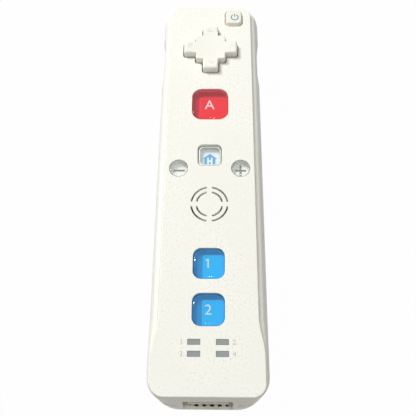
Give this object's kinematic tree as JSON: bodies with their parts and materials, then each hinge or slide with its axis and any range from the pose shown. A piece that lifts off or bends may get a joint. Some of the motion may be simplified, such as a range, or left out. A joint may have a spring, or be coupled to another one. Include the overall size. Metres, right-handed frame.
{
  "type": "motion controller wand",
  "caption": "Slim white hand-held game controller wand with a four-way pad, round and square face buttons, a trigger underneath, speaker slots and an expansion port.",
  "frame": {"origin": "on the resting surface under the middle of the wand, which lies on its back", "axes": "+Y towards the nose with the infrared window, +Z out of the button face, +X to the right seen from the face"},
  "size_m": [0.0376, 0.15, 0.0305],
  "materials": {
    "shell_plastic": "moulded white ABS, fine satin texture",
    "button_plastic": "moulded white ABS, satin",
    "window_plastic": "infrared-passing dark acrylic, polished",
    "red_lens": "clear red acrylic, polished",
    "red_core": "red ABS under the lens",
    "clear_lens": "clear acrylic, polished",
    "grey_core": "silver-grey ABS under the lens",
    "blue_lens": "clear blue acrylic, polished",
    "blue_core": "blue ABS under the lens",
    "rubber": "moulded silicone rubber",
    "steel": "nickel-plated steel",
    "brass_weight": "sintered weight",
    "contacts": "gold-plated contacts",
    "board_green": "glass-fibre board with solder mask",
    "black_plastic": "moulded black plastic",
    "paper_cone": "pressed paper cone",
    "light_plastic": "smoky clear light pipe",
    "cream_plastic": "moulded cream nylon",
    "red_plastic": "moulded red plastic",
    "cell_wrap": "plain printed foil wrap"
  },
  "bodies": {
    "housing": {"front_shell": "shell_plastic", "rear_shell": "shell_plastic", "nose_window": "window_plastic", "trigger_pin": "steel", "trigger_spring": "steel", "trigger_switch": "black_plastic", "upper_keypad": "rubber", "middle_keypad": "rubber", "lower_keypad": "rubber", "main_board": "board_green", "processor_chip": "black_plastic", "motion_sensor": "black_plastic", "radio_can": "steel", "capacitors": "black_plastic", "light_windows": "light_plastic", "light_chips": "light_plastic", "speaker_basket": "black_plastic", "speaker_cone": "paper_cone", "speaker_gasket": "rubber", "rumble_motor": "steel", "ir_camera": "black_plastic", "ir_holder": "cream_plastic", "port_housing": "cream_plastic", "port_contacts": "contacts", "strap_bars": "steel", "sync_switch": "black_plastic", "battery_left": "cell_wrap", "battery_right": "cell_wrap", "battery_springs": "steel", "battery_plates": "steel", "shell_screws": "steel", "board_screws": "steel"},
    "dpad_pivot": {"dpad_pivot": "rubber"},
    "dpad": {"dpad": "button_plastic"},
    "power_button": {"power_button": "button_plastic"},
    "a_button": {"a_button": "red_lens", "a_core": "red_core"},
    "home_button": {"home_button": "clear_lens", "home_core": "grey_core"},
    "minus_button": {"minus_button": "clear_lens", "minus_core": "grey_core"},
    "plus_button": {"plus_button": "clear_lens", "plus_core": "grey_core"},
    "one_button": {"one_button": "blue_lens", "one_core": "blue_core"},
    "two_button": {"two_button": "blue_lens", "two_core": "blue_core"},
    "trigger": {"trigger": "button_plastic"},
    "sync_button": {"sync_button": "red_plastic"},
    "battery_door": {"battery_door": "shell_plastic"},
    "rumble_weight": {"rumble_weight": "brass_weight"}
  },
  "joints": [
    {"name": "dpad_rock_y", "type": "hinge", "parent": "housing", "child": "dpad_pivot", "pos_m": [0, 0.05303, 0.024], "axis": [1, 0, 0], "range_deg": [-3.2, 3.2], "stiffness_Nm_per_rad": 0.02, "deforming": ["upper_keypad"]},
    {"name": "dpad_rock_x", "type": "hinge", "parent": "dpad_pivot", "child": "dpad", "pos_m": [0, 0.05303, 0.024], "axis": [0, 1, 0], "range_deg": [-3.2, 3.2], "stiffness_Nm_per_rad": 0.02, "deforming": ["upper_keypad"]},
    {"name": "power_press", "type": "slide", "parent": "housing", "child": "power_button", "axis": [0, 0, -1], "range_m": [0, 0.0005], "stiffness_N_per_m": 350, "springref_m": -0.0006, "deforming": ["upper_keypad"]},
    {"name": "a_press", "type": "slide", "parent": "housing", "child": "a_button", "axis": [0, 0, -1], "range_m": [0, 0.001], "stiffness_N_per_m": 350, "springref_m": -0.0006, "deforming": ["middle_keypad"]},
    {"name": "home_press", "type": "slide", "parent": "housing", "child": "home_button", "axis": [0, 0, -1], "range_m": [0, 0.0005], "stiffness_N_per_m": 350, "springref_m": -0.0006, "deforming": ["middle_keypad"]},
    {"name": "minus_press", "type": "slide", "parent": "housing", "child": "minus_button", "axis": [0, 0, -1], "range_m": [0, 0.0005], "stiffness_N_per_m": 350, "springref_m": -0.0006, "deforming": ["middle_keypad"]},
    {"name": "plus_press", "type": "slide", "parent": "housing", "child": "plus_button", "axis": [0, 0, -1], "range_m": [0, 0.0005], "stiffness_N_per_m": 350, "springref_m": -0.0006, "deforming": ["middle_keypad"]},
    {"name": "one_press", "type": "slide", "parent": "housing", "child": "one_button", "axis": [0, 0, -1], "range_m": [0, 0.0008], "stiffness_N_per_m": 350, "springref_m": -0.0006, "deforming": ["lower_keypad"]},
    {"name": "two_press", "type": "slide", "parent": "housing", "child": "two_button", "axis": [0, 0, -1], "range_m": [0, 0.0008], "stiffness_N_per_m": 350, "springref_m": -0.0006, "deforming": ["lower_keypad"]},
    {"name": "trigger_pull", "type": "hinge", "parent": "housing", "child": "trigger", "pos_m": [0, 0.0575, 0.0132], "axis": [-1, 0, 0], "range_deg": [0, 7], "stiffness_Nm_per_rad": 0.12, "springref_deg": -5.73, "deforming": ["trigger_spring"]},
    {"name": "sync_press", "type": "slide", "parent": "housing", "child": "sync_button", "axis": [0, 0, 1], "range_m": [0, 0.0004], "stiffness_N_per_m": 300, "springref_m": -0.0005},
    {"name": "door_open", "type": "hinge", "parent": "housing", "child": "battery_door", "pos_m": [0, -0.0617, 0], "axis": [-1, 0, 0], "range_deg": [0, 50]},
    {"name": "rumble_spin", "type": "hinge", "parent": "housing", "child": "rumble_weight", "pos_m": [-0.007, 0.02, 0.0136], "axis": [0, 1, 0], "continuous": true}
  ]
}
